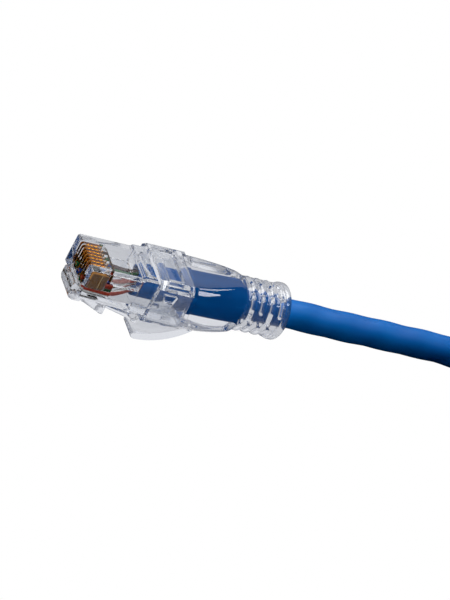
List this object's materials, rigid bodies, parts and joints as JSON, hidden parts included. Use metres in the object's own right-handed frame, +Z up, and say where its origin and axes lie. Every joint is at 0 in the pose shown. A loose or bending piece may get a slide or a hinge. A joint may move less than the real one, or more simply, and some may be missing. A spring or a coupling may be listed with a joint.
{
  "type": "ethernet patch cable",
  "caption": "Round blue network patch cable with a clear modular plug, latch guard boot and ribbed strain relief at each end, its spare length tied in a coil.",
  "frame": {"origin": "middle of the near plug's footprint, on the surface that it lies on", "axes": "+X from the near plug's nose towards the cable, +Z up from the surface; the contacts face up"},
  "size_m": [0.1602, 0.0762, 0.0292],
  "materials": {
    "plug_clear": "clear moulded polycarbonate, glossy",
    "guide_clear": "clear moulded polycarbonate, glossy",
    "boot_clear": "clear flexible plastic, glossy",
    "contact_gold": "gold plated, polished",
    "jacket_blue": "satin blue cable jacket",
    "tie_black": "matt black",
    "wire_white_orange": "white insulation with a orange stripe",
    "wire_orange": "orange insulation",
    "wire_white_green": "white insulation with a green stripe",
    "wire_blue": "blue insulation",
    "wire_white_blue": "white insulation with a blue stripe",
    "wire_green": "green insulation",
    "wire_white_brown": "white insulation with a brown stripe",
    "wire_brown": "brown insulation"
  },
  "bodies": {
    "cable": {"plug_housing_a": "plug_clear", "wire_guide_a": "guide_clear", "jacket_end_a": "jacket_blue", "boot_a": "boot_clear", "contact_1_a": "contact_gold", "contact_2_a": "contact_gold", "contact_3_a": "contact_gold", "contact_4_a": "contact_gold", "contact_5_a": "contact_gold", "contact_6_a": "contact_gold", "contact_7_a": "contact_gold", "contact_8_a": "contact_gold", "wire_white_orange_a": "wire_white_orange", "wire_orange_a": "wire_orange", "wire_white_green_a": "wire_white_green", "wire_blue_a": "wire_blue", "wire_white_blue_a": "wire_white_blue", "wire_green_a": "wire_green", "wire_white_brown_a": "wire_white_brown", "wire_brown_a": "wire_brown", "plug_housing_b": "plug_clear", "wire_guide_b": "guide_clear", "jacket_end_b": "jacket_blue", "boot_b": "boot_clear", "contact_1_b": "contact_gold", "contact_2_b": "contact_gold", "contact_3_b": "contact_gold", "contact_4_b": "contact_gold", "contact_5_b": "contact_gold", "contact_6_b": "contact_gold", "contact_7_b": "contact_gold", "contact_8_b": "contact_gold", "wire_white_orange_b": "wire_white_orange", "wire_orange_b": "wire_orange", "wire_white_green_b": "wire_white_green", "wire_blue_b": "wire_blue", "wire_white_blue_b": "wire_white_blue", "wire_green_b": "wire_green", "wire_white_brown_b": "wire_white_brown", "wire_brown_b": "wire_brown", "cord_lead": "jacket_blue", "cord_coil": "jacket_blue", "cord_tail": "jacket_blue", "coil_tie": "tie_black"},
    "near_latch": {"latch_a": "plug_clear"},
    "near_hood": {"hood_a": "boot_clear"},
    "far_latch": {"latch_b": "plug_clear"},
    "far_hood": {"hood_b": "boot_clear"}
  },
  "joints": [
    {"name": "near_hood_flex", "type": "hinge", "parent": "cable", "child": "near_hood", "pos_m": [0.00492, 0, 0.00485], "axis": [0, 1, 0], "range_deg": [0, 19], "stiffness_Nm_per_rad": 0.15},
    {"name": "near_latch_flex", "type": "hinge", "parent": "cable", "child": "near_latch", "pos_m": [-0.01833, 0, 0.00645], "axis": [0, -1, 0], "range_deg": [0, 10]},
    {"name": "far_hood_flex", "type": "hinge", "parent": "cable", "child": "far_hood", "pos_m": [0.11125, -0.0013, 0.02437], "axis": [0, 1, 0], "range_deg": [0, 19], "stiffness_Nm_per_rad": 0.15},
    {"name": "far_latch_flex", "type": "hinge", "parent": "cable", "child": "far_latch", "pos_m": [0.1345, -0.0013, 0.02277], "axis": [0, -1, 0], "range_deg": [0, 10]}
  ],
  "couplings": [
    {"joint": "near_latch_flex", "follows": "near_hood_flex", "ratio": 0.526},
    {"joint": "far_latch_flex", "follows": "far_hood_flex", "ratio": 0.526}
  ]
}
